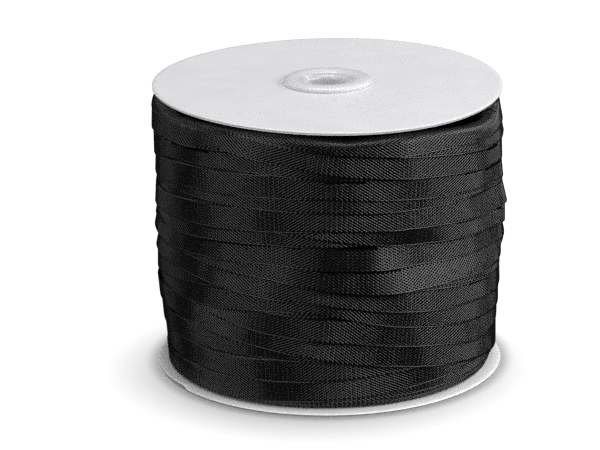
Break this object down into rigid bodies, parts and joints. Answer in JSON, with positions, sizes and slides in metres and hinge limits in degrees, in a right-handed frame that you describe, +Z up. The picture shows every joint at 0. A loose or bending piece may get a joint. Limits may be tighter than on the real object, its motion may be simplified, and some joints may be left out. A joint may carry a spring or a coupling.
{
  "type": "roll of crinoline braid",
  "caption": "Spool with white card flanges and a plastic hub, wound full of flat black horsehair braid in sloping, overlapping turns.",
  "frame": {"origin": "on the roll's axis, at the surface that the lower flange rests on", "axes": "+Z up along the hub's bore; -Y the side that the picture shows"},
  "size_m": [0.1517, 0.1518, 0.1266],
  "materials": {
    "card": "white card board, smooth uncoated face, pale grey cut edge",
    "hub_plastic": "glossy white moulded polystyrene",
    "braid": "black nylon monofilament braid, open diagonal weave with a satin gleam"
  },
  "bodies": {
    "root": {"flange_bottom": "card", "flange_top": "card", "hub": "hub_plastic", "winding": "braid"}
  },
  "joints": []
}
